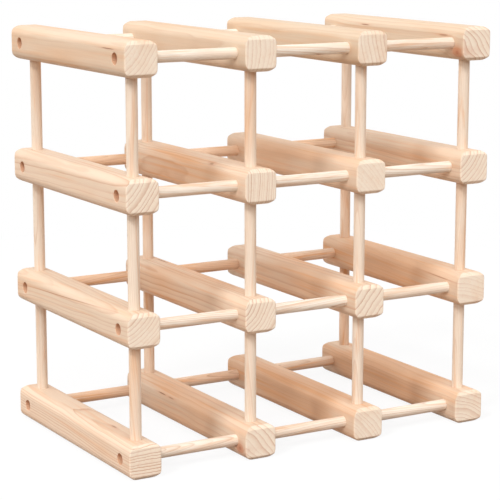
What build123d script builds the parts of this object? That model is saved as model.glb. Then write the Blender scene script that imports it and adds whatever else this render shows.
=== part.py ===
from build123d import *
import os

# A wine rack: round-edged rails stacked in columns and joined by glued round dowels.
# X runs across, Y from front to back and Z up, with the origin on the floor under the rack's centre.

# Driving dimensions, in millimetres
COLUMNS = 4                  # rails side by side
LEVELS = 4                   # rails one above another
PITCH = 122.0                # from rail centre to rail centre, across and up
RAIL_SECTION = 33.0          # width and height of a rail
RAIL_LENGTH = 250.0          # front to back
LONG_EDGE_RADIUS = 9.0       # rounding along a rail
END_CHAMFER = 3.2            # upper and lower edges of a rail's ends
END_EASE = 1.0               # upright edges of a rail's ends
DOWEL_DIAMETER = 11.0
DOWEL_END_CHAMFER = 1.0
DOWEL_INSET = 20.0           # dowel axes in from a rail's ends
GLUE_GAP = 0.05              # between a dowel and its socket's wall
CROSS_SOCKET_DEPTH = 15.0    # sockets in a rail's sides
UPRIGHT_SOCKET_DEPTH = 9.0   # sockets in a rail's top and bottom

# Sizes that follow from those
RAIL_GAP = PITCH - RAIL_SECTION
DOWEL_RADIUS = DOWEL_DIAMETER / 2
SOCKET_RADIUS = DOWEL_RADIUS + GLUE_GAP
DOWEL_REACH = RAIL_LENGTH / 2 - DOWEL_INSET
DOWEL_ROWS = {"front": -DOWEL_REACH, "rear": DOWEL_REACH}


def column_x(column):
    """Centre of a column's rails, with columns counted from 1 at the left."""
    return (column - (COLUMNS + 1) / 2) * PITCH


def level_z(level):
    """Centre of a level's rails, with levels counted from 1 at the floor."""
    return RAIL_SECTION / 2 + (level - 1) * PITCH


def rail_blank():
    """A square bar along Y: the long edges rounded, the ends chamfered above and below and eased at the sides."""
    section = Plane.XZ * RectangleRounded(RAIL_SECTION, RAIL_SECTION, LONG_EDGE_RADIUS)
    side_view = Plane.YZ * chamfer(Rectangle(RAIL_LENGTH, RAIL_SECTION).vertices(), END_CHAMFER)
    top_view = Plane.XY * chamfer(Rectangle(RAIL_SECTION, RAIL_LENGTH).vertices(), END_EASE)
    bar = extrude(section, amount=RAIL_LENGTH / 2, both=True)
    bar &= extrude(side_view, amount=RAIL_SECTION / 2, both=True)
    return bar & extrude(top_view, amount=RAIL_SECTION / 2, both=True)


def rail(level):
    """A rail centred on the origin, drilled in both sides, and above and below where another rail is stacked."""
    drilled_faces = [((-1, 0, 0), CROSS_SOCKET_DEPTH), ((1, 0, 0), CROSS_SOCKET_DEPTH)]
    if level < LEVELS:
        drilled_faces.append(((0, 0, 1), UPRIGHT_SOCKET_DEPTH))
    if level > 1:
        drilled_faces.append(((0, 0, -1), UPRIGHT_SOCKET_DEPTH))
    body = rail_blank()
    for row_y in DOWEL_ROWS.values():
        for outward, depth in drilled_faces:
            mouth = Vector(outward) * (RAIL_SECTION / 2) + Vector(0, row_y, 0)
            drill = Pos(0, 0, -depth / 2) * Cylinder(SOCKET_RADIUS, depth)
            body -= Plane(origin=mouth, z_dir=outward) * drill
    return body


def dowel(socket_depth):
    """A round bar along Z, centred, that spans the gap between two rails and fills a socket in each."""
    bar = Cylinder(DOWEL_RADIUS, RAIL_GAP + 2 * socket_depth)
    return chamfer(bar.edges().filter_by(GeomType.CIRCLE), DOWEL_END_CHAMFER)


def rails():
    """One rail for each column at each level."""
    for level in range(1, LEVELS + 1):
        shape = rail(level)
        for column in range(1, COLUMNS + 1):
            yield f"rail_level_{level}_column_{column}", Pos(column_x(column), 0, level_z(level)) * shape


def upright_dowels():
    """A front and a rear dowel that carry each rail on the one below it."""
    shape = dowel(UPRIGHT_SOCKET_DEPTH)
    for level in range(1, LEVELS):
        middle_z = level_z(level) + PITCH / 2
        for column in range(1, COLUMNS + 1):
            for row, row_y in DOWEL_ROWS.items():
                name = f"upright_dowel_level_{level}_column_{column}_{row}"
                yield name, Pos(column_x(column), row_y, middle_z) * shape


def cross_dowels():
    """The front and rear dowels between two neighbouring rails, on which one bottle lies, as a pair."""
    shape = Rot(0, 90, 0) * dowel(CROSS_SOCKET_DEPTH)
    for level in range(1, LEVELS + 1):
        for bay in range(1, COLUMNS):
            middle_x = column_x(bay) + PITCH / 2
            pair = [Pos(middle_x, row_y, level_z(level)) * shape for row_y in DOWEL_ROWS.values()]
            yield f"cross_dowels_level_{level}_bay_{bay}", Compound(children=pair)


os.makedirs("parts", exist_ok=True)
for pieces in (rails(), upright_dowels(), cross_dowels()):
    for node, shape in pieces:
        shape.label = node
        export_step(shape, f"parts/{node}.step")
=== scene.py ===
"""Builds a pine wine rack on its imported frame: round-edged rails held apart by glued dowels.

X runs across, Y from front to back and Z up. Meshes are in metres, and the wood's pattern in millimetres.
"""

import math
from typing import NamedTuple

import bpy
import numpy as np
from bpy.props import FloatProperty, FloatVectorProperty, PointerProperty
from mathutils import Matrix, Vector


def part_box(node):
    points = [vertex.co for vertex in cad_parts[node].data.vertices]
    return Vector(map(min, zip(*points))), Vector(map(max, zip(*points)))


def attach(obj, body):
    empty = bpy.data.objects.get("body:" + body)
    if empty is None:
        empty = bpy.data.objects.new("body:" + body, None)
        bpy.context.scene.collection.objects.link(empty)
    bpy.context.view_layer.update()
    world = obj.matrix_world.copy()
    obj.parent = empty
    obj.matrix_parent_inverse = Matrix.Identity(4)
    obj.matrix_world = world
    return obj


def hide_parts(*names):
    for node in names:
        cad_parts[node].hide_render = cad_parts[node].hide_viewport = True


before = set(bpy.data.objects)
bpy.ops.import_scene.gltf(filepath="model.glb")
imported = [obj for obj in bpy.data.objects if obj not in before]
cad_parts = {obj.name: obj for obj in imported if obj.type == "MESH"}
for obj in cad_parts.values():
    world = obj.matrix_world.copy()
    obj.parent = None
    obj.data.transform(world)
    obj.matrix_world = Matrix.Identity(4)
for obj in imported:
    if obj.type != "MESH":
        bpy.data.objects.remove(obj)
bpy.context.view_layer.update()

bl_info = {
    "name": "Pine Wine Rack",
    "version": (1, 0, 0),
    "blender": (4, 5, 0),
    "location": "View3D > Sidebar > Wine Rack",
    "description": "Builds a wine rack of round-edged pine rails and dowels on its packed frame",
    "category": "Object",
}

MM = 0.001
ACROSS, ALONG, UP = 0, 1, 2


def node_box(node):
    """Lowest and highest corner of a solid in the frame, as arrays."""
    low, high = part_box(node)
    return np.array(low), np.array(high)


def node_numbers(node):
    """The level in a node's name, and its column or bay."""
    return [int(word) for word in node.split("_") if word.isdigit()]


def nodes_of(kind):
    """Names of all nodes of one kind, in order."""
    return sorted(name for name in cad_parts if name.startswith(kind))


RAIL_NODES = nodes_of("rail_")
UPRIGHT_NODES = nodes_of("upright_dowel_")
CROSS_NODES = nodes_of("cross_dowels_")
LEVELS = max(node_numbers(name)[0] for name in RAIL_NODES)

# Sizes that the frame gives
RAIL_LOW, RAIL_HIGH = node_box("rail_level_1_column_1")
RAIL_HALF = (RAIL_HIGH[ACROSS] - RAIL_LOW[ACROSS]) / 2
RAIL_LENGTH = RAIL_HIGH[ALONG] - RAIL_LOW[ALONG]
UPRIGHT_LOW, UPRIGHT_HIGH = node_box("upright_dowel_level_1_column_1_front")
DOWEL_RADIUS = (UPRIGHT_HIGH[ACROSS] - UPRIGHT_LOW[ACROSS]) / 2
UPRIGHT_SOCKET = RAIL_HIGH[UP] - UPRIGHT_LOW[UP]
CROSS_SOCKET = RAIL_HIGH[ACROSS] - node_box("cross_dowels_level_1_bay_1")[0][ACROSS]
ROW_INSET = (UPRIGHT_LOW[ALONG] + UPRIGHT_HIGH[ALONG]) / 2 - RAIL_LOW[ALONG]

# Steps of the meshes
FLAT_STEPS = 12           # over a rail's flat, and along it past a socket
ARC_STEPS = 10            # round a long edge
END_STEPS = 4             # over the middle of a rail's end
EDGE_STEPS = 16           # on each side of an end's edge
FILL_STEPS = 3            # from there to the sockets
MIDDLE_STEPS = 12         # from the sockets to a rail's middle
MOUTH_STEPS = 5           # round a socket's mouth
DOWEL_STEPS = 40          # round a dowel
BODY_STEPS = 25           # along it
FLOOR_STEPS = 9           # each way over the floor

# Shares of a size
END_HOLE = 0.12           # first outline on a rail's end, of the rail's section
EDGE_REACH = 2.0          # finely stepped zone at an end's edge, of the chamfer
EASE_SOFTNESS = 0.6       # softness of the eased edges, of the planed ones'
WALL_STOPS = (0.4, 0.8, 1.0)  # rings down a socket, of its depth
BOTTOM_RING = 0.55        # ring on a socket's bottom, of its radius
TIP_RING = 0.5            # ring on a dowel's end, of the end's radius

# Where a rail's warm tone starts to fall off and where it has fallen off, in millimetres from its middle.
# The warmer middle is painted shade, for the warm shade deep in the rack
SHADE_FADE_START = 35.0
SHADE_FADE_END = 105.0

# Added to the tone of the rear dowels that stand or lie deep in the rack: painted shade, warm like the shade
# there
CROSS_SHADE_WARMTH = 0.85
UPRIGHT_SHADE_WARMTH = 0.45

# Millimetres along the logs from piece to piece, so that no two pieces show the same grain
RAIL_SHIFT = 613.0
UPRIGHT_SHIFT = 701.0
CROSS_SHIFT = 907.0
PAIR_SHIFT = 311.0

# Chance in the dowels' wood
UPRIGHT_SEED = 24
CROSS_SEED = 12
UPRIGHT_FACING = 0.0      # rough direction of the pith over a dowel's section
CROSS_FACING = math.pi / 2
PITH_SWING = 0.9          # how far it may turn from there
PITH_DISTANCE = (18, 60)  # millimetres
DOWEL_RINGS = (1.5, 2.3)
DOWEL_STRENGTH = (0.55, 1.0)
DOWEL_TONE = (-0.4, 0.1)
DOWEL_DRIFT = (-0.09, 0.09)

# How far the rings wander, in millimetres, and how strongly they show on a piece's sides
RAIL_WANDER = 8.0
DOWEL_WANDER = 3.0
RAIL_SIDE_GRAIN = 0.42
UPRIGHT_SIDE_GRAIN = 0.4
CROSS_SIDE_GRAIN = 1.0

# Noise in the wood, in cycles per millimetre across, along and up
BENDS = (0.024, 0.0065, 0.024)
WOBBLES = (0.030, 0.024, 0.030)
RIPPLES = (0.20, 0.013, 0.20)
FIBRES = (1.3, 0.022, 1.3)
PORES = (3.4, 0.06, 3.4)
CLOUDS = (0.045, 0.007, 0.045)
BANDS = (0.26, 0.0045, 0.26)
NOISE_ROUGHNESS = 0.55

# The rings
WOBBLE_SHARE = 0.25       # wobbles, of the wander
RIPPLE_SHARE = 0.35       # ripples, of the ring width
KNOT_SWELL = 9.0          # millimetres that a knot pushes the rings aside
KNOT_GRIP = 0.22          # how soon that dies away round the knot
RING_NOISE = 0.6          # cycles of unevenness for each ring
SIDE_POWER = 6.0          # how sharply a late line rises on a piece's sides
END_POWER = 8.0           # and on its ends
SIDE_DARKNESS = 1.9       # how dark it is on a piece's sides
END_DARKNESS = 1.5        # and on its ends
FAINTEST_RING = 0.25      # darkness of the faintest ring's line, of the strongest one's
LINE_FALL = 11.0          # how steeply a line ends
RAMP_FALL = 6.0           # and the ramp under it
RAMP_SHARE = 0.2

# How strongly the other parts of the pattern show
TONE_SHARE = 0.35         # a piece's tone, in its warm clouds
CLOUD_EDGES = (0.40, 0.85)  # noise where a cloud begins and where it is full
BAND_EDGES = (0.50, 0.72)
CLOUD_SHARE = 0.7
BAND_SHARE = 0.5
END_WARMTH = 0.3          # clouds and bands on a piece's ends, of those on its sides
FIBRE_BASE = 0.90         # lightness where fibres and pores are darkest
FIBRE_SHARE = 0.14
PORE_SHARE = 0.06
WEAR_SHARE = 0.12
# Share of the sockets' wall colour: partly rougher wood, partly painted shade
DRILLED_SHADE_SHARE = 0.85
FIBRE_ROUGHNESS = 0.16    # added to the roughness
GRAIN_POLISH = 0.06       # taken off it on dark lines
DRILLED_ROUGHNESS = 0.2
FIBRE_HEIGHT = 0.5        # heights in the relief
PORE_HEIGHT = 0.25
GRAIN_DEPTH = 0.6
RELIEF_STRENGTH = 0.35
SHEEN = 0.15

# Marks
FAR_OFF = 60.0            # distance to a mark on a piece that has none, in the mark's half sizes
KNOT_RINGS = 3.0          # rings of a knot in each half size
KNOT_RIPPLE = 1.5         # how far the ripple pushes them
KNOT_BASE = 0.25          # tint of a knot's core between its rings
KNOT_RING_SHARE = 0.6     # and what the rings add to it

# The lamps: which of the studio's settings give strength and width, and the direction that each shines from
LAMPS = (
    ("key", "narrow", (-1.0, -0.48, 1.10)),
    ("side", "narrow", (-1.0, -0.48, 0.45)),
    ("front", "broad", (-0.20, -0.78, 0.60)),
    ("right", "broad", (0.95, 0.15, 0.30)),
    ("rear", "broad", (-0.62, 0.68, 0.40)),
)

# The camera and the floor
SENSOR_WIDTH = 36.0       # millimetres
SHADOW_NEAR = 0.35        # metres from the middle, where the floor's shading starts to give way to white
SHADOW_FAR = 1.1          # where it has done so
OPEN_FLOOR = 1.2          # what the lamps and the ceiling make of a white floor in the open
PAINT_ROUGHNESS = 0.6
SPECKLES = 90.0           # for each metre
SPECKLE_BASE = 0.97
SPECKLE_SHARE = 0.06
WHITE = (1.0, 1.0, 1.0, 1.0)


def srgb(red, green, blue):
    """A colour as a screen shows it, 0 to 255, turned into linear values by the standard curve."""
    seen = np.array((red, green, blue)) / 255
    linear = np.where(seen <= 0.04045, seen / 12.92, ((seen + 0.055) / 1.055) ** 2.4)
    return tuple(float(value) for value in linear)


def length_property(name, description, default):
    """A size in metres."""
    return FloatProperty(
        name=name, description=description, default=default, min=0.0, unit="LENGTH", precision=5
    )


def colour_property(name, description, default):
    """A colour in linear values."""
    return FloatVectorProperty(
        name=name, description=description, default=default, subtype="COLOR", min=0.0, max=1.0
    )


def angle_property(name, description, degrees):
    """An angle, given in degrees."""
    return FloatProperty(name=name, description=description, default=math.radians(degrees), subtype="ANGLE")


def strength_property(name, description, default):
    """The strength of a light."""
    return FloatProperty(name=name, description=description, default=default, min=0.0)


def share_property(name, description, default):
    """A share from 0 to 1."""
    return FloatProperty(
        name=name, description=description, default=default, min=0.0, max=1.0, subtype="FACTOR"
    )


class RackShape(bpy.types.PropertyGroup):
    """How the edges of the rails and dowels are worked."""

    long_edge: length_property("Long edges", "Radius along the rails", 9 * MM)
    end_chamfer: length_property("End chamfer", "Planed off above and below a rail's ends", 3.2 * MM)
    end_ease: length_property("End ease", "Sanded off the upright edges of a rail's ends", 1.0 * MM)
    softness: length_property("Softness", "How softly the planed edges turn", 0.2 * MM)
    socket_gap: length_property("Socket gap", "Between a dowel and its socket's wall", 0.05 * MM)
    mouth_ease: length_property("Mouth ease", "Round edge at a socket's mouth", 0.2 * MM)
    dowel_chamfer: length_property("Dowel chamfer", "At both ends of a dowel", 1.0 * MM)
    dowel_oval: length_property("Dowel oval", "How far a dowel's section is out of round", 0.08 * MM)


class PineFinish(bpy.types.PropertyGroup):
    """Colours and grain of the bare wood."""

    early_wood: colour_property("Early wood", "Pale wood on a rail's sides", srgb(233, 209, 185))
    end_wood: colour_property("End wood", "Pale wood on a rail's ends", srgb(250, 235, 216))
    late_wood: colour_property("Late wood", "Dark lines of the rings of a rail", srgb(196, 137, 96))
    # Orange streaks, and also the warm painted shade that a high tone gives on pieces deep in the rack
    warm_wood_and_shade: colour_property("Warm wood", "Orange streaks and zones", srgb(231, 182, 140))
    # Partly the wood's own greyish beige hue, partly painted shade that darkens the top rails
    greyed_and_shaded: colour_property("Greyed wood", "Where light has greyed a rail", srgb(196, 178, 152))
    upright_early: colour_property("Upright wood", "Pale wood of an upright dowel", srgb(240, 223, 204))
    upright_late: colour_property("Upright grain", "Dark lines of an upright dowel", srgb(205, 160, 128))
    cross_early: colour_property("Cross wood", "Pale wood of a cross dowel", srgb(246, 235, 220))
    cross_late: colour_property("Cross grain", "Dark lines of a cross dowel", srgb(206, 166, 136))
    knot: colour_property("Knot", "Reddish wood of a knot", srgb(204, 132, 92))
    heart: colour_property("Heart", "Middle of a knot", srgb(172, 92, 62))
    resin: colour_property("Resin", "Dark dashes in the grain", srgb(136, 84, 56))
    # Partly the rougher wood of the sockets' walls, partly painted shade inside the sockets
    drilled_and_shaded: colour_property("Drilled wood", "Rough walls of the sockets", srgb(222, 176, 142))
    worn: colour_property("Sanded edge", "Pale wood where an edge was sanded", srgb(250, 234, 214))
    roughness: share_property("Roughness", "Of the sanded wood", 0.56)
    relief: length_property("Relief", "Height of the grain's relief", 0.25 * MM)


class Studio(bpy.types.PropertyGroup):
    """Camera, lamps and floor."""

    azimuth: angle_property("Azimuth", "Camera, round the rack", -30.33)
    elevation: angle_property("Elevation", "Camera, above the horizon", 10.835)
    aim_height: length_property("Aim height", "Point that the camera looks at", 0.175)
    distance: length_property("Distance", "From the camera to that point", 1.813)
    lens: FloatProperty(name="Lens", description="Focal length", default=130.1, min=1.0, unit="CAMERA")
    key: strength_property("Key", "Lamp high at the left", 0.92)
    side: strength_property("Side", "Lamp low at the left", 0.50)
    front: strength_property("Front", "Broad lamp at the front", 1.22)
    rear: strength_property("Rear", "Broad lamp at the rear left", 0.80)
    right: strength_property("Right", "Broad lamp at the right", 0.55)
    narrow: angle_property("Narrow", "Width of the lamps at the left", 9)
    broad: angle_property("Broad", "Width of the broad lamps", 42)
    horizon: share_property("Horizon", "Share of the ceiling's light that comes from all round", 0.3)
    overhead: strength_property("Overhead", "Light from the ceiling", 0.87)
    floor_width: length_property("Floor width", "Side of the floor", 8.0)
    floor: colour_property("Floor", "Pale warm floor, as it lights the rack", (0.38, 0.28, 0.215))
    shadow: share_property("Shadow", "Share of the floor's shading that the camera sees", 0.10)
    white: strength_property("White", "What the camera sees of the bare floor", 1.0)


class Mark(NamedTuple):
    """A knot, resin dash or faint streak, in millimetres.

    centre is its place from the rail's centre and half_sizes its reach, both across, along and up.
    """

    centre: tuple
    half_sizes: tuple


class MarkPart(NamedTuple):
    """Where part of a mark begins and is full, in half sizes, how frayed it is, and how much of it shows."""

    begins: float
    full: float
    frayed: float
    share: float


HALO = MarkPart(2.6, 0.6, 0.8, 0.45)
CORE = MarkPart(1.25, 0.85, 0.9, 1.0)
HEART = MarkPart(0.65, 0.15, 0.6, 0.5)
STAIN = MarkPart(3.0, 0.8, 0.8, 0.25)
DASH = MarkPart(1.3, 0.6, 0.8, 0.75)
TRACE = MarkPart(1.3, 0.5, 0.8, 0.45)


class Stock(NamedTuple):
    """How a piece was sawn from its log, in millimetres.

    pith is the log's heart seen from the front, across and up from the piece's centre. rings is the ring
    width, strength how dark the late wood is, and tone how warm the piece is. drift is how far the grain
    runs sideways, across and up, for each millimetre along the piece. fade is how much less warm the
    piece is at its ends, so that its middle stays warmer as painted shade. grey is how far it
    turns greyish and darker: partly its own hue, partly painted shade.
    """

    pith: tuple
    rings: float
    strength: float
    tone: float
    drift: tuple
    fade: float = 0.0
    grey: float = 0.0
    knot: Mark = None
    resin: Mark = None
    streak: Mark = None


# The flat sides of a rail that marks lie on, in millimetres from its centre
TOP = RAIL_HALF / MM
LEFT = -TOP

# The rails' wood by level and column. Pith, ring width, strength, tone and drift come first. The higher tone
# and the fade of the rails in columns 2 to 4 below the top level are partly painted shade, for the warm
# shade deep in the rack.
# grey, most on the top rails, is partly painted shade that darkens them
RAIL_STOCK = {
    (4, 1): Stock(
        (-45, 40), 4.2, 0.50, 0.25, (0.010, 0.004), grey=0.20,
        resin=Mark((LEFT, -92, 8.2), (5, 11, 0.40)),
    ),
    (4, 2): Stock((-80, 8), 4.2, 0.60, 0.10, (0.012, -0.006), grey=0.32),
    (4, 3): Stock((70, 15), 4.4, 0.65, 0.20, (-0.010, 0.010), grey=0.42),
    (4, 4): Stock(
        (-42, -40), 4.0, 0.90, -0.20, (0.006, 0.010), grey=0.32,
        # Its halo reaches under the cross dowel's mouth and partly paints the shade there
        knot=Mark((LEFT, -115, -8.5), (12, 7, 4.5)),
        resin=Mark((LEFT, 46, 9.5), (6, 7, 0.55)),
        streak=Mark((LEFT, -92, 7), (6, 7, 0.9)),
    ),
    (3, 1): Stock((-75, 62), 4.2, 1.30, -0.45, (0.020, -0.012)),
    (3, 2): Stock(
        (-150, 0), 2.4, 1.10, 0.45, (0.004, 0.010), fade=0.45,
        streak=Mark((-12, -56, 14), (5, 4, 1.0)),
    ),
    (3, 3): Stock((-60, -60), 3.6, 0.35, 0.45, (0.012, 0.004), fade=0.25),
    (3, 4): Stock((-50, 45), 4.0, 0.85, -0.15, (-0.010, 0.008), fade=0.15),
    (2, 1): Stock(
        (-45, 50), 3.8, 0.85, 0.00, (0.012, -0.055), grey=0.12,
        streak=Mark((LEFT, 9, 8.3), (5, 70, 0.35)),
    ),
    (2, 2): Stock(
        (-60, 40), 3.8, 1.10, 0.60, (0.010, 0.008), fade=0.80,
        resin=Mark((6, 85, TOP), (0.9, 12, 5)),
    ),
    (2, 3): Stock((-80, 70), 6.2, 0.90, 0.60, (-0.008, 0.012), fade=0.95),
    (2, 4): Stock(
        (-30, -90), 4.0, 0.50, 1.00, (0.008, 0.048), fade=0.55,
        streak=Mark((LEFT, -93, 8.3), (5, 18, 0.45)),
    ),
    (1, 1): Stock(
        (-5, 220), 2.9, 1.45, -0.30, (0.010, 0.025),
        streak=Mark((1, -58, TOP), (1.2, 5, 5)),
    ),
    (1, 2): Stock(
        (-45, -45), 5.0, 0.75, 0.50, (0.014, 0.010), fade=0.65,
        knot=Mark((LEFT, -114, -6), (12, 6, 4.5)),
        resin=Mark((LEFT, 45, 9.8), (5, 8, 0.60)),
        streak=Mark((LEFT, 26, 9.5), (5, 6, 0.7)),
    ),
    (1, 3): Stock((-70, -60), 3.8, 0.70, 0.95, (0.010, 0.006), fade=0.65),
    (1, 4): Stock((-35, -95), 4.2, 1.00, 1.30, (0.010, 0.010), fade=1.10),
}


class Wire:
    """One output in a node tree. Arithmetic on wires and numbers adds Math nodes."""

    def __init__(self, tree, socket=None):
        self.tree = tree
        self.socket = socket

    def node(self, kind, settings=None, inputs=None, output=0):
        """Adds a node, sets its settings first and then its sockets, and gives back one of its outputs."""
        made = self.tree.nodes.new(kind)
        for key, value in (settings or {}).items():
            setattr(made, key, value)
        for key, value in (inputs or {}).items():
            if isinstance(value, Wire):
                self.tree.links.new(value.socket, made.inputs[key])
            else:
                made.inputs[key].default_value = value
        return Wire(self.tree, made.outputs[output] if made.outputs else None)

    def maths(self, operation, *operands):
        """A Math node on numbers."""
        return self.node("ShaderNodeMath", {"operation": operation}, dict(enumerate(operands)))

    def vector(self, operation, *operands, output=0):
        """A Vector Math node."""
        return self.node("ShaderNodeVectorMath", {"operation": operation}, dict(enumerate(operands)), output)

    def mix(self, factor, first, second, blend="MIX"):
        """Blends two colours. A Mix node's colours are its sockets 6 and 7, and its output 2."""
        settings = {"data_type": "RGBA", "blend_type": blend}
        return self.node("ShaderNodeMix", settings, {0: factor, 6: first, 7: second}, 2)

    def smooth(self, value, low, high):
        """0 on low's side, 1 on high's side and an S-shaped rise between."""
        inputs = {"Value": value, "From Min": low, "From Max": high, "To Min": 0.0, "To Max": 1.0}
        return self.node("ShaderNodeMapRange", {"interpolation_type": "SMOOTHSTEP"}, inputs)

    def noise(self, place, stretch, detail):
        """Cloudy noise from 0 to 1 with stretch cycles per millimetre across, along and up."""
        stretched = self.vector("MULTIPLY", place, stretch)
        inputs = {"Vector": stretched, "Scale": 1.0, "Detail": detail, "Roughness": NOISE_ROUGHNESS}
        return self.node("ShaderNodeTexNoise", {"noise_dimensions": "3D"}, inputs)

    def attribute(self, name):
        """A vector that the mesh carries."""
        return self.node("ShaderNodeAttribute", {"attribute_name": name}, output="Vector")

    def parts(self, vector):
        """The three numbers of a vector."""
        first = self.node("ShaderNodeSeparateXYZ", None, {0: vector})
        return [Wire(self.tree, socket) for socket in first.socket.node.outputs]

    def __add__(self, other):
        return self.maths("ADD", self, other)

    def __radd__(self, other):
        return self.maths("ADD", other, self)

    def __sub__(self, other):
        return self.maths("SUBTRACT", self, other)

    def __rsub__(self, other):
        return self.maths("SUBTRACT", other, self)

    def __mul__(self, other):
        return self.maths("MULTIPLY", self, other)

    def __rmul__(self, other):
        return self.maths("MULTIPLY", other, self)

    def __truediv__(self, other):
        return self.maths("DIVIDE", self, other)

    def __rtruediv__(self, other):
        return self.maths("DIVIDE", other, self)

    def __pow__(self, other):
        return self.maths("POWER", self, other)

    def __rpow__(self, other):
        return self.maths("POWER", other, self)


def empty_tree(owner):
    """Clears the node tree of a material or world, and gives back a wire to fill it with."""
    owner.use_nodes = True
    owner.node_tree.nodes.clear()
    return Wire(owner.node_tree)


def opaque(colour):
    """A colour with its alpha."""
    return (*colour, 1.0)


def side_to_end(end, side_value, end_value):
    """One value on a piece's sides and another on its ends, mixed in proportion to end."""
    return side_value + end * (end_value - side_value)


def ring_age(nodes, log, rings, ripple, knot, wander):
    """How far through its ring a place is, from 0 to 1, and a chance shade of that ring.

    A ring's number is the distance from the log's Y axis, pushed about by noise that is long along the
    grain and swollen round a knot, divided by the ring width. Noise along that number makes rings uneven.
    """
    across, _, up = nodes.parts(log)
    bend = nodes.noise(log, BENDS, 1.0) - 0.5
    wobble = nodes.noise(log, WOBBLES, 1.0) - 0.5
    swell = nodes.maths("EXPONENT", knot * knot * -KNOT_GRIP)
    distance = nodes.maths("SQRT", across * across + up * up)
    distance = distance + bend * wander + wobble * wander * WOBBLE_SHARE
    distance = distance + ripple * rings * RIPPLE_SHARE + swell * KNOT_SWELL
    counted = distance / rings
    inputs = {"W": counted * RING_NOISE, "Scale": 1.0, "Detail": 1.0}
    counted = counted + nodes.node("ShaderNodeTexNoise", {"noise_dimensions": "1D"}, inputs)
    number = nodes.maths("FLOOR", counted)
    shade = nodes.node("ShaderNodeTexWhiteNoise", {"noise_dimensions": "1D"}, {"W": number})
    return nodes.maths("FRACT", counted), shade


def ring_grain(nodes, age, ring_shade, end):
    """Darkness of the rings: a late line that rises with a high power of the age, over a slow ramp.

    The power is higher on a piece's ends. Line and ramp fall to nothing just before the next ring.
    """
    left = 1.0 - age
    line = age ** side_to_end(end, SIDE_POWER, END_POWER) * nodes.maths("MINIMUM", left * LINE_FALL, 1.0)
    ramp = age * age * nodes.maths("MINIMUM", left * RAMP_FALL, 1.0)
    darkness = FAINTEST_RING + ring_shade * (1 - FAINTEST_RING)
    return line * side_to_end(end, SIDE_DARKNESS, END_DARKNESS) * darkness + ramp * RAMP_SHARE


def add_marks(nodes, colour, finish, ripple, knot, resin, streak):
    """Lays knots, resin dashes and streaks over the wood.

    Each is a distance in half sizes, frayed by the ripple. A knot has a halo, a ringed core and a heart, and
    resin and streaks have a faint stain round a dark line.
    """

    def shown(distance, part):
        return nodes.smooth(distance + ripple * part.frayed, part.begins, part.full) * part.share

    knot_rings = nodes.maths("FRACT", knot * KNOT_RINGS + ripple * KNOT_RIPPLE) ** 2.0
    layers = (
        (shown(knot, HALO), finish.knot),
        (shown(knot, CORE) * (KNOT_BASE + knot_rings * KNOT_RING_SHARE), finish.knot),
        (shown(knot, HEART), finish.heart),
        (shown(nodes.maths("MINIMUM", resin, streak), STAIN), finish.knot),
        (nodes.maths("MAXIMUM", shown(resin, DASH), shown(streak, TRACE)), finish.resin),
    )
    for share, tint in layers:
        colour = nodes.mix(share, colour, opaque(tint))
    return colour


def pine(name, finish, early, end_early, late, wander, side_grain):
    """Bare sanded pine that runs through the piece, read from the vectors that its mesh carries.

    Warm clouds and bands, the rings, greying that is partly painted shade, fine fibres and pores along the
    grain, and marks are laid over each other. Sanded edges are paler, and the sockets' walls rougher and
    darker, partly painted shade. Fibres, pores and rings make the relief.
    """
    material = bpy.data.materials.new(name)
    nodes = empty_tree(material)
    log = nodes.attribute("log")
    rings, strength, tone = nodes.parts(nodes.attribute("stock"))
    wear, drilled_and_shaded, end = nodes.parts(nodes.attribute("skin"))
    grey = nodes.parts(nodes.attribute("grey"))[0]
    knot, resin, streak = (
        nodes.vector("LENGTH", nodes.attribute(mark), output="Value") for mark in ("knot", "resin", "streak")
    )
    ripple = nodes.noise(log, RIPPLES, 2.0) - 0.5
    age, ring_shade = ring_age(nodes, log, rings, ripple, knot, wander)
    grain = ring_grain(nodes, age, ring_shade, end) * strength * side_to_end(end, side_grain, 1.0)
    fibre = nodes.noise(log, FIBRES, 3.0)
    pores = nodes.noise(log, PORES, 1.0)
    # A piece's tone, higher on pieces deep in the rack, partly paints the warm shade there
    clouds = nodes.smooth(nodes.noise(log, CLOUDS, 2.0) + tone * TONE_SHARE, *CLOUD_EDGES)
    bands = nodes.smooth(nodes.noise(log, BANDS, 2.0), *BAND_EDGES)
    warm = (clouds * CLOUD_SHARE + bands * BAND_SHARE) * side_to_end(end, 1.0, END_WARMTH)
    lightness = FIBRE_BASE + fibre * FIBRE_SHARE + pores * PORE_SHARE

    colour = nodes.mix(end, opaque(early), opaque(end_early))
    colour = nodes.mix(nodes.maths("MINIMUM", warm, 1.0), colour, opaque(finish.warm_wood_and_shade))
    colour = nodes.mix(nodes.maths("MINIMUM", grain, 1.0), colour, opaque(late))
    # Turns the sides greyish and darker: partly the wood's own hue, partly painted shade on the top rails
    colour = nodes.mix(grey * (1.0 - end), colour, opaque(finish.greyed_and_shaded))
    colour = nodes.mix(1.0, colour, lightness, "MULTIPLY")
    colour = add_marks(nodes, colour, finish, ripple, knot, resin, streak)
    colour = nodes.mix(wear * WEAR_SHARE, colour, opaque(finish.worn))
    # The sockets' walls: partly rougher wood, partly painted shade inside the sockets
    colour = nodes.mix(drilled_and_shaded * DRILLED_SHADE_SHARE, colour, opaque(finish.drilled_and_shaded))

    roughness = finish.roughness + (fibre - 0.5) * FIBRE_ROUGHNESS
    roughness = roughness - grain * GRAIN_POLISH + drilled_and_shaded * DRILLED_ROUGHNESS
    height = fibre * FIBRE_HEIGHT + pores * PORE_HEIGHT - grain * GRAIN_DEPTH
    relief = nodes.node(
        "ShaderNodeBump",
        None,
        {"Strength": RELIEF_STRENGTH, "Distance": finish.relief, "Height": height},
    )
    surface = nodes.node(
        "ShaderNodeBsdfPrincipled",
        None,
        {"Base Color": colour, "Roughness": roughness, "Normal": relief, "Specular IOR Level": SHEEN},
    )
    nodes.node("ShaderNodeOutputMaterial", None, {"Surface": surface})
    return material


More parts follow.
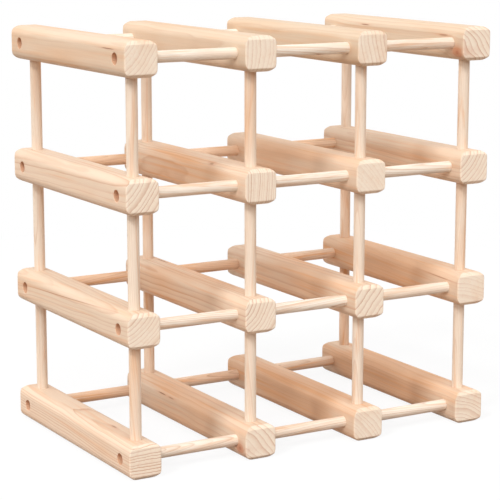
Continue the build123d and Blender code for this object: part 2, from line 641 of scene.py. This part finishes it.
class Shell:
    """Points and faces of a surface, gathered as whole arrays."""

    def __init__(self):
        self.points = np.empty((0, 3))
        self.quads = np.empty((0, 4), int)
        self.triangles = np.empty((0, 3), int)

    def add(self, points):
        """Keeps an array of points and gives back their numbers in the same layout."""
        points = np.asarray(points)
        numbers = np.arange(points[..., 0].size).reshape(points.shape[:-1]) + len(self.points)
        self.points = np.concatenate((self.points, points.reshape(-1, 3)))
        return numbers

    def bridge(self, rings, keep=slice(None)):
        """Quads between each closed ring and the next one, or only those to keep."""
        ahead = np.roll(rings, -1, axis=1)
        quads = np.stack((rings[:-1], ahead[:-1], ahead[1:], rings[1:]), axis=-1)
        self.quads = np.concatenate((self.quads, quads[keep].reshape(-1, 4)))

    def fan(self, ring, pole):
        """Triangles from a closed ring to the point that closes it."""
        triangles = np.stack((ring, np.roll(ring, -1), np.full_like(ring, pole)), axis=-1)
        self.triangles = np.concatenate((self.triangles, triangles))

    def mesh(self, name):
        """A smooth mesh of the points and faces."""
        made = bpy.data.meshes.new(name)
        made.vertices.add(len(self.points))
        made.vertices.foreach_set("co", self.points.ravel())
        corners = np.concatenate((self.quads.ravel(), self.triangles.ravel()))
        made.loops.add(len(corners))
        made.loops.foreach_set("vertex_index", corners)
        quad_starts = np.arange(len(self.quads)) * 4
        triangle_starts = self.quads.size + np.arange(len(self.triangles)) * 3
        made.polygons.add(len(self.quads) + len(self.triangles))
        made.polygons.foreach_set("loop_start", np.concatenate((quad_starts, triangle_starts)))
        made.update(calc_edges=True)
        made.shade_smooth()
        return made


def from_mark(mark, drift, places):
    """Places seen from a mark's centre in its half sizes, along the drifting grain, or far off if None."""
    if mark is None:
        return np.full_like(places, FAR_OFF)
    offset = places - np.array(mark.centre)
    offset[:, [ACROSS, UP]] -= np.outer(offset[:, ALONG], drift)
    return offset / np.array(mark.half_sizes)


def wood_layers(stock, places, shift):
    """The vectors that the wood reads, at places across, along and up from a piece's centre in millimetres.

    log is the place in the log: the pith is taken off, the grain's drift followed, and shift added along it.
    stock is ring width, strength and tone, and the tone falls off to both ends in an S-shaped step: the
    warmer middle is painted shade. grey is how far the wood turns greyish and darker, partly its
    own hue and partly painted shade, and the last three are the places seen from the marks.
    """
    across, along, up = places.T
    share = np.clip((np.abs(along) - SHADE_FADE_START) / (SHADE_FADE_END - SHADE_FADE_START), 0, 1)
    # The fall-off to the ends leaves the middle warmer: painted shade
    tone = stock.tone - stock.fade * share**2 * (3 - 2 * share)
    even = np.ones_like(along)
    in_log = (
        across - stock.pith[0] - stock.drift[0] * along,
        along + shift,
        up - stock.pith[1] - stock.drift[1] * along,
    )
    return {
        "log": np.stack(in_log, axis=-1),
        "stock": np.stack((even * stock.rings, even * stock.strength, tone), axis=-1),
        "grey": np.outer(even, (stock.grey, 0.0, 0.0)),
        "knot": from_mark(stock.knot, stock.drift, places),
        "resin": from_mark(stock.resin, stock.drift, places),
        "streak": from_mark(stock.streak, stock.drift, places),
    }


def add_piece(node, shell, material, grain_axis, layers, wear, drilled_and_shaded):
    """Makes the object that stands for a solid, with the vectors that its wood reads.

    The last of them, skin, is wear, drilled, and end, which is 1 where the surface is square to the grain.
    """
    name = f"pine_{node}"
    mesh = shell.mesh(name)
    normals = np.empty(shell.points.size)
    mesh.vertex_normals.foreach_get("vector", normals)
    end = np.abs(normals.reshape(-1, 3)[:, grain_axis]) * (1 - drilled_and_shaded)
    skin = np.stack((wear, drilled_and_shaded, end), axis=-1)
    for key, values in {**layers, "skin": skin}.items():
        layer = mesh.attributes.new(key, "FLOAT_VECTOR", "POINT")
        layer.data.foreach_set("vector", values.astype(np.float32).ravel())
    mesh.materials.append(material)
    piece = bpy.data.objects.new(name, mesh)
    bpy.context.scene.collection.objects.link(piece)
    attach(piece, "root")
    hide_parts(node)


def rounded_square(half, radius):
    """Outline of a rail seen from the front, anticlockwise from the foot of its right side.

    A flat and a quarter circle make one side and corner, and quarter turns of them make the rest.
    """
    flat = half - radius
    up = np.linspace(-flat, flat, FLAT_STEPS, endpoint=False)
    turn = np.linspace(0, math.pi / 2, ARC_STEPS, endpoint=False)
    straight = np.stack((np.full_like(up, half), up), axis=-1)
    corner = flat + radius * np.stack((np.cos(turn), np.sin(turn)), axis=-1)
    side = np.concatenate((straight, corner))
    quarter_turn = np.array(((0.0, 1.0), (-1.0, 0.0)))
    return np.concatenate([side @ np.linalg.matrix_power(quarter_turn, count) for count in range(4)])


def rail_stations(shape):
    """Places along a rail from rear to front, the outline's scale at each, and the rear sockets' first row.

    The outline opens from the middle of the rear end to its edge and runs forward at full size. The front
    half is the same in reverse. Steps are fine at the edges and keep to the sockets' windows.
    """
    flat = RAIL_HALF - shape.long_edge
    edge = EDGE_REACH * shape.end_chamfer
    inner = 1 - edge / RAIL_HALF
    opening = np.concatenate(
        (np.linspace(END_HOLE, inner, END_STEPS, endpoint=False), np.linspace(inner, 1, EDGE_STEPS + 1))
    )
    run = np.concatenate(
        (
            np.linspace(0, edge, EDGE_STEPS, endpoint=False),
            np.linspace(edge, ROW_INSET - flat, FILL_STEPS, endpoint=False),
            np.linspace(ROW_INSET - flat, ROW_INSET + flat, FLAT_STEPS, endpoint=False),
            np.linspace(ROW_INSET + flat, RAIL_LENGTH / 2, MIDDLE_STEPS + 1),
        )
    )
    rear_half = np.concatenate((np.full(len(opening) - 1, RAIL_LENGTH / 2), RAIL_LENGTH / 2 - run))
    rear_scale = np.concatenate((opening[:-1], np.ones(len(run))))
    place = np.concatenate((rear_half, -rear_half[-2::-1]))
    scale = np.concatenate((rear_scale, rear_scale[-2::-1]))
    return place, scale, len(opening) - 1 + EDGE_STEPS + FILL_STEPS


def drill(shell, window, centre, outward, radius, depth, ease):
    """Sinks a socket in a square window of a rail's flat, and gives back the numbers of the points in it.

    The window's edge is blended into a circle round the socket, the mouth is a quarter round, and a wall and
    a bottom follow. Each ring has its own radius and depth, at the angles of the window's points.
    """
    perimeter = np.concatenate((window[:-1, 0], window[-1, :-1], window[:0:-1, -1], window[0, :0:-1]))
    along = np.array((0.0, 1.0, 0.0))
    beside = np.cross(outward, along)
    offset = shell.points[perimeter] - centre
    angle = np.arctan2(offset @ beside, offset @ along)
    spoke = np.outer(np.cos(angle), along) + np.outer(np.sin(angle), beside)
    turn = np.linspace(0, math.pi / 2, MOUTH_STEPS)
    wall = np.full(len(WALL_STOPS), radius)
    radii = np.concatenate((radius + ease - ease * np.sin(turn), wall, (radius * BOTTOM_RING,)))
    depths = np.concatenate((ease - ease * np.cos(turn), np.array(WALL_STOPS) * depth, (depth,)))
    circles = centre + radii[:, None, None] * spoke - depths[:, None, None] * outward
    halfway = (shell.points[perimeter] + circles[0]) / 2
    rings = shell.add(np.concatenate((halfway[None], circles)))
    pole = shell.add(centre - depth * outward)
    shell.bridge(np.concatenate((perimeter[None], rings)))
    shell.fan(rings[-1], pole)
    return np.append(rings[MOUTH_STEPS - 1 :], pole)


def plane_ends(points, axis, chamfer, softness):
    """Planes off the edges of a rail's ends across one axis.

    Past the plane where the distances from the middle, along the axis and along Y, sum to half the section
    and half the length less the chamfer, a point goes back square to that plane. Its excess e is softened to
    (e + sqrt(e^2 + k^2)) / 2, where k is the softness, and taken off half along each axis. Also gives wear,
    1 on the edges and 0 away from them.
    """
    limit = RAIL_HALF + RAIL_LENGTH / 2 - chamfer
    excess = np.abs(points[:, axis]) + np.abs(points[:, ALONG]) - limit
    reach = np.sqrt(excess**2 + softness**2)
    back = (excess + reach) / 4
    planed = points.copy()
    planed[:, axis] -= np.sign(points[:, axis]) * back
    planed[:, ALONG] -= np.sign(points[:, ALONG]) * back
    share = (1 + excess / reach) / 2
    return planed, 4 * share * (1 - share)


def rail_shell(shape, above, below):
    """A rail's surface centred on the origin, its wear, and 1 at each point of a socket.

    The scaled outline is carried along the rail, sockets are sunk in its sides, and above and below where
    another rail is stacked, and the end edges are planed off.
    """
    shell = Shell()
    outline = rounded_square(RAIL_HALF, shape.long_edge)
    place, scale, rear_row = rail_stations(shape)
    tube = np.stack(
        (
            np.outer(scale, outline[:, 0]),
            np.broadcast_to(place[:, None], (len(place), len(outline))),
            np.outer(scale, outline[:, 1]),
        ),
        axis=-1,
    )
    rings = shell.add(tube)
    shell.fan(rings[0][::-1], shell.add(np.array((0, RAIL_LENGTH / 2, 0))))
    shell.fan(rings[-1], shell.add(np.array((0, -RAIL_LENGTH / 2, 0))))

    # Quarter turns from the right side, with the depth of the sockets there
    faces = [(0, CROSS_SOCKET), (2, CROSS_SOCKET)]
    if above:
        faces.append((1, UPRIGHT_SOCKET))
    if below:
        faces.append((3, UPRIGHT_SOCKET))
    front_row = len(place) - 1 - rear_row - FLAT_STEPS
    reach = RAIL_LENGTH / 2 - ROW_INSET
    radius = DOWEL_RADIUS + shape.socket_gap
    keep = np.ones((len(place) - 1, len(outline)), bool)
    walls = []
    for quarter, depth in faces:
        angle = quarter * math.pi / 2
        outward = np.round((math.cos(angle), 0.0, math.sin(angle)))
        first = quarter * (FLAT_STEPS + ARC_STEPS)
        for row, row_y in ((rear_row, reach), (front_row, -reach)):
            keep[row : row + FLAT_STEPS, first : first + FLAT_STEPS] = False
            window = rings[row : row + FLAT_STEPS + 1, first : first + FLAT_STEPS + 1][::-1]
            centre = outward * RAIL_HALF + np.array((0.0, row_y, 0.0))
            walls.append(drill(shell, window, centre, outward, radius, depth, shape.mouth_ease))
    shell.bridge(rings, keep)

    drilled_and_shaded = np.zeros(len(shell.points))
    drilled_and_shaded[np.concatenate(walls)] = 1
    shell.points, wear = plane_ends(shell.points, UP, shape.end_chamfer, shape.softness)
    ease_softness = shape.softness * EASE_SOFTNESS
    shell.points, side_wear = plane_ends(shell.points, ACROSS, shape.end_ease, ease_softness)
    return shell, np.maximum(wear, side_wear), drilled_and_shaded


class MakeRails(bpy.types.Operator):
    """Make the rails that run from front to back"""

    bl_idname = "wine_rack.make_rails"
    bl_label = "Make Rails"
    bl_options = {"REGISTER", "UNDO"}

    def execute(self, context):
        shape, finish = context.scene.rack_shape, context.scene.pine_finish
        early, ends, late = finish.early_wood, finish.end_wood, finish.late_wood
        wood = pine("rail_pine", finish, early, ends, late, RAIL_WANDER, RAIL_SIDE_GRAIN)
        for count, node in enumerate(RAIL_NODES, 1):
            level, column = node_numbers(node)
            shell, wear, drilled_and_shaded = rail_shell(shape, level < LEVELS, level > 1)
            layers = wood_layers(RAIL_STOCK[level, column], shell.points / MM, RAIL_SHIFT * count)
            shell.points = shell.points + np.mean(node_box(node), axis=0)
            add_piece(node, shell, wood, ALONG, layers, wear, drilled_and_shaded)
        return {"FINISHED"}


def add_dowel(shell, shape, length, centre, axis, lean):
    """Adds a dowel to a shell: circles carried along an axis, closed by chamfered ends.

    The circle's radius is smaller by a little in one direction, lean, as turned stock dries oval.
    """
    half, chamfer = length / 2, shape.dowel_chamfer
    end_radius = DOWEL_RADIUS - chamfer
    body = np.linspace(-half + chamfer, half - chamfer, BODY_STEPS)
    along = np.concatenate(((-half, -half), body, (half, half)))
    radii = np.full(len(along), DOWEL_RADIUS)
    radii[[0, -1]] = end_radius * TIP_RING
    radii[[1, -2]] = end_radius
    angle = np.arange(DOWEL_STEPS) * 2 * math.pi / DOWEL_STEPS
    oval = 1 - shape.dowel_oval / DOWEL_RADIUS * (1 + np.cos(2 * (angle - lean))) / 2
    swept = np.empty((len(along), DOWEL_STEPS, 3))
    swept[..., axis] = along[:, None]
    swept[..., (axis + 1) % 3] = np.outer(radii, oval * np.cos(angle))
    swept[..., (axis + 2) % 3] = np.outer(radii, oval * np.sin(angle))
    rings = shell.add(swept + centre)
    tip = np.zeros(3)
    tip[axis] = half
    shell.bridge(rings)
    shell.fan(rings[0][::-1], shell.add(centre - tip))
    shell.fan(rings[-1], shell.add(centre + tip))


def dowel_stock(chance, facing, shade_warmth):
    """A dowel's place in its log, drawn at random: fine rings at a slant, with the pith to one side.

    facing is the direction to that side or to the one across from it, and a warm tone of painted shade is
    added to the tone.
    """
    direction = facing + chance.uniform(-PITH_SWING, PITH_SWING) + math.pi * chance.integers(2)
    distance = chance.uniform(*PITH_DISTANCE)
    return Stock(
        pith=(distance * math.cos(direction), distance * math.sin(direction)),
        rings=chance.uniform(*DOWEL_RINGS),
        strength=chance.uniform(*DOWEL_STRENGTH),
        tone=chance.uniform(*DOWEL_TONE) + shade_warmth,
        drift=tuple(chance.uniform(*DOWEL_DRIFT, 2)),
    )


def add_dowels(node, shape, wood, axis, facing, dowels, length, chance, shift):
    """One piece that holds the dowels of a node, given by centre and painted shade's tone, each from its own
    log.
    """
    shell = Shell()
    cuts = []
    for centre, shade_warmth in dowels:
        start = len(shell.points)
        add_dowel(shell, shape, length, centre, axis, chance.uniform(0, math.pi))
        places = (shell.points[start:] - centre)[:, [(axis + 1) % 3, axis, (axis + 2) % 3]] / MM
        stock = dowel_stock(chance, facing, shade_warmth)
        cuts.append(wood_layers(stock, places, shift + PAIR_SHIFT * len(cuts)))
    layers = {key: np.concatenate([cut[key] for cut in cuts]) for key in cuts[0]}
    bare = np.zeros(len(shell.points))
    add_piece(node, shell, wood, axis, layers, bare, bare)


class MakeUprightDowels(bpy.types.Operator):
    """Make the dowels that carry each rail on the one below it"""

    bl_idname = "wine_rack.make_upright_dowels"
    bl_label = "Make Upright Dowels"
    bl_options = {"REGISTER", "UNDO"}

    def execute(self, context):
        shape, finish = context.scene.rack_shape, context.scene.pine_finish
        early, late = finish.upright_early, finish.upright_late
        wood = pine("upright_pine", finish, early, early, late, DOWEL_WANDER, UPRIGHT_SIDE_GRAIN)
        chance = np.random.default_rng(UPRIGHT_SEED)
        for number, node in enumerate(UPRIGHT_NODES):
            level, column = node_numbers(node)
            low, high = node_box(node)
            # Rear uprights deep in the rack get a warmer tone: painted shade
            deep = node.endswith("rear") and level < LEVELS - 1 and column > 1
            dowels = [((low + high) / 2, UPRIGHT_SHADE_WARMTH if deep else 0.0)]
            length = high[UP] - low[UP]
            shift = UPRIGHT_SHIFT * number
            add_dowels(node, shape, wood, UP, UPRIGHT_FACING, dowels, length, chance, shift)
        return {"FINISHED"}


class MakeCrossDowels(bpy.types.Operator):
    """Make the pairs of dowels that the bottles lie on"""

    bl_idname = "wine_rack.make_cross_dowels"
    bl_label = "Make Cross Dowels"
    bl_options = {"REGISTER", "UNDO"}

    def execute(self, context):
        shape, finish = context.scene.rack_shape, context.scene.pine_finish
        early, late = finish.cross_early, finish.cross_late
        wood = pine("cross_pine", finish, early, early, late, DOWEL_WANDER, CROSS_SIDE_GRAIN)
        chance = np.random.default_rng(CROSS_SEED)
        for number, node in enumerate(CROSS_NODES):
            level, _ = node_numbers(node)
            low, high = node_box(node)
            middle = (low + high) / 2
            reach = np.array((0, (high[ALONG] - low[ALONG]) / 2 - DOWEL_RADIUS, 0))
            # Rear cross dowels below the top level get a warmer tone: painted shade
            rear_shade_warmth = CROSS_SHADE_WARMTH if level < LEVELS else 0.0
            dowels = [(middle - reach, 0.0), (middle + reach, rear_shade_warmth)]
            length = high[ACROSS] - low[ACROSS]
            shift = CROSS_SHIFT * number
            add_dowels(node, shape, wood, ACROSS, CROSS_FACING, dowels, length, chance, shift)
        return {"FINISHED"}


def seen_directly(nodes):
    """1 for rays from the camera and for those that gloss or glass sends on, and 0 for scattered light."""
    rays = nodes.node("ShaderNodeLightPath").socket.node.outputs
    kinds = ("Is Camera Ray", "Is Glossy Ray", "Is Transmission Ray")
    camera, glossy, transmitted = (Wire(nodes.tree, rays[kind]) for kind in kinds)
    return nodes.maths("MAXIMUM", camera, nodes.maths("MAXIMUM", glossy, transmitted))


def floor_material(studio):
    """A pale floor that the camera sees as white, with the rack's shadow. Other rays see its own colour."""
    material = bpy.data.materials.new("studio_floor")
    nodes = empty_tree(material)
    place = nodes.node("ShaderNodeTexCoord", output="Object")
    away = nodes.smooth(nodes.vector("LENGTH", place, output="Value"), SHADOW_NEAR, SHADOW_FAR)
    speckle = nodes.node("ShaderNodeTexNoise", None, {"Vector": place, "Scale": SPECKLES, "Detail": 2.0})
    shade = SPECKLE_BASE + speckle * SPECKLE_SHARE

    def paint(colour):
        tint = nodes.mix(1.0, opaque(colour), shade, "MULTIPLY")
        return nodes.node("ShaderNodeBsdfDiffuse", None, {"Color": tint, "Roughness": PAINT_ROUGHNESS})

    def glow(strength):
        return nodes.node("ShaderNodeEmission", None, {"Color": WHITE, "Strength": strength})

    lift = glow(studio.white - studio.shadow * OPEN_FLOOR)
    near = nodes.node("ShaderNodeAddShader", None, {0: paint((studio.shadow,) * 3), 1: lift})
    shown = nodes.node("ShaderNodeMixShader", None, {0: away, 1: near, 2: glow(studio.white)})
    mixed = {0: seen_directly(nodes), 1: paint(studio.floor), 2: shown}
    surface = nodes.node("ShaderNodeMixShader", None, mixed)
    nodes.node("ShaderNodeOutputMaterial", None, {"Surface": surface})
    return material


def studio_world(studio):
    """A studio that is white to the eye, and lights the rack from a ceiling that fades to the horizon."""
    world = bpy.data.worlds.new("studio")
    nodes = empty_tree(world)
    height = nodes.parts(nodes.node("ShaderNodeTexCoord", output="Generated"))[UP]
    overhead = nodes.maths("MAXIMUM", height, 0.0) * (1 - studio.horizon)
    ceiling = (studio.horizon + overhead) * studio.overhead
    seen = seen_directly(nodes)
    strength = ceiling * (1.0 - seen) + seen * studio.white
    light = nodes.node("ShaderNodeBackground", None, {"Color": WHITE, "Strength": strength})
    nodes.node("ShaderNodeOutputWorld", None, {"Surface": light})
    return world


def add_floor(studio):
    """A flat square grid at height 0."""
    steps = np.linspace(-studio.floor_width / 2, studio.floor_width / 2, FLOOR_STEPS)
    across, along = np.meshgrid(steps, steps)
    ground = Shell()
    numbers = ground.add(np.stack((across, along, np.zeros_like(across)), axis=-1))
    corners = (numbers[:-1, :-1], numbers[:-1, 1:], numbers[1:, 1:], numbers[1:, :-1])
    ground.quads = np.stack(corners, axis=-1).reshape(-1, 4)
    mesh = ground.mesh("floor")
    mesh.materials.append(floor_material(studio))
    floor = bpy.data.objects.new("floor", mesh)
    bpy.context.scene.collection.objects.link(floor)


def add_lamp(name, strength, spread, towards):
    """A distant white lamp that shines from the direction towards."""
    lamp = bpy.data.lights.new(name, "SUN")
    lamp.energy = strength
    lamp.angle = spread
    holder = bpy.data.objects.new(name, lamp)
    holder.rotation_euler = Vector(towards).to_track_quat("Z", "Y").to_euler()
    bpy.context.scene.collection.objects.link(holder)


def add_camera(studio):
    """A camera at the aim point plus the distance along the direction that azimuth and elevation give."""
    turn, rise = studio.azimuth, studio.elevation
    back = Vector((math.sin(turn) * math.cos(rise), -math.cos(turn) * math.cos(rise), math.sin(rise)))
    lens = bpy.data.cameras.new("camera")
    lens.lens = studio.lens
    lens.sensor_width = SENSOR_WIDTH
    camera = bpy.data.objects.new("camera", lens)
    camera.location = Vector((0, 0, studio.aim_height)) + back * studio.distance
    camera.rotation_euler = back.to_track_quat("Z", "Y").to_euler()
    bpy.context.scene.collection.objects.link(camera)
    bpy.context.scene.camera = camera


class SetStage(bpy.types.Operator):
    """Set up the floor, the light and the camera"""

    bl_idname = "wine_rack.set_stage"
    bl_label = "Set Stage"
    bl_options = {"REGISTER", "UNDO"}

    def execute(self, context):
        studio = context.scene.studio
        add_floor(studio)
        context.scene.world = studio_world(studio)
        for name, width, towards in LAMPS:
            add_lamp(f"{name}_lamp", getattr(studio, name), getattr(studio, width), towards)
        add_camera(studio)
        context.scene.view_settings.view_transform = "Standard"
        return {"FINISHED"}


class VIEW3D_PT_wine_rack(bpy.types.Panel):
    """Sizes, colours and buttons of the wine rack"""

    bl_label = "Wine Rack"
    bl_space_type = "VIEW_3D"
    bl_region_type = "UI"
    bl_category = "Wine Rack"

    def draw(self, context):
        for label, group in (
            ("Shape", context.scene.rack_shape),
            ("Finish", context.scene.pine_finish),
            ("Studio", context.scene.studio),
        ):
            box = self.layout.box()
            box.label(text=label)
            for key in group.bl_rna.properties.keys():
                if key not in ("rna_type", "name"):
                    box.prop(group, key)
        for operator in OPERATORS:
            self.layout.operator(operator.bl_idname)


OPERATORS = (MakeRails, MakeUprightDowels, MakeCrossDowels, SetStage)
CLASSES = (RackShape, PineFinish, Studio, *OPERATORS, VIEW3D_PT_wine_rack)


def register():
    """Adds the classes, and their settings to every scene."""
    for made in CLASSES:
        bpy.utils.register_class(made)
    bpy.types.Scene.rack_shape = PointerProperty(type=RackShape)
    bpy.types.Scene.pine_finish = PointerProperty(type=PineFinish)
    bpy.types.Scene.studio = PointerProperty(type=Studio)


def unregister():
    """Takes away what register adds."""
    for key in ("rack_shape", "pine_finish", "studio"):
        delattr(bpy.types.Scene, key)
    for made in reversed(CLASSES):
        bpy.utils.unregister_class(made)


def main():
    """Builds the rack and its stage."""
    register()
    bpy.ops.wine_rack.make_rails()
    bpy.ops.wine_rack.make_upright_dowels()
    bpy.ops.wine_rack.make_cross_dowels()
    bpy.ops.wine_rack.set_stage()


if __name__ == "__main__":
    main()
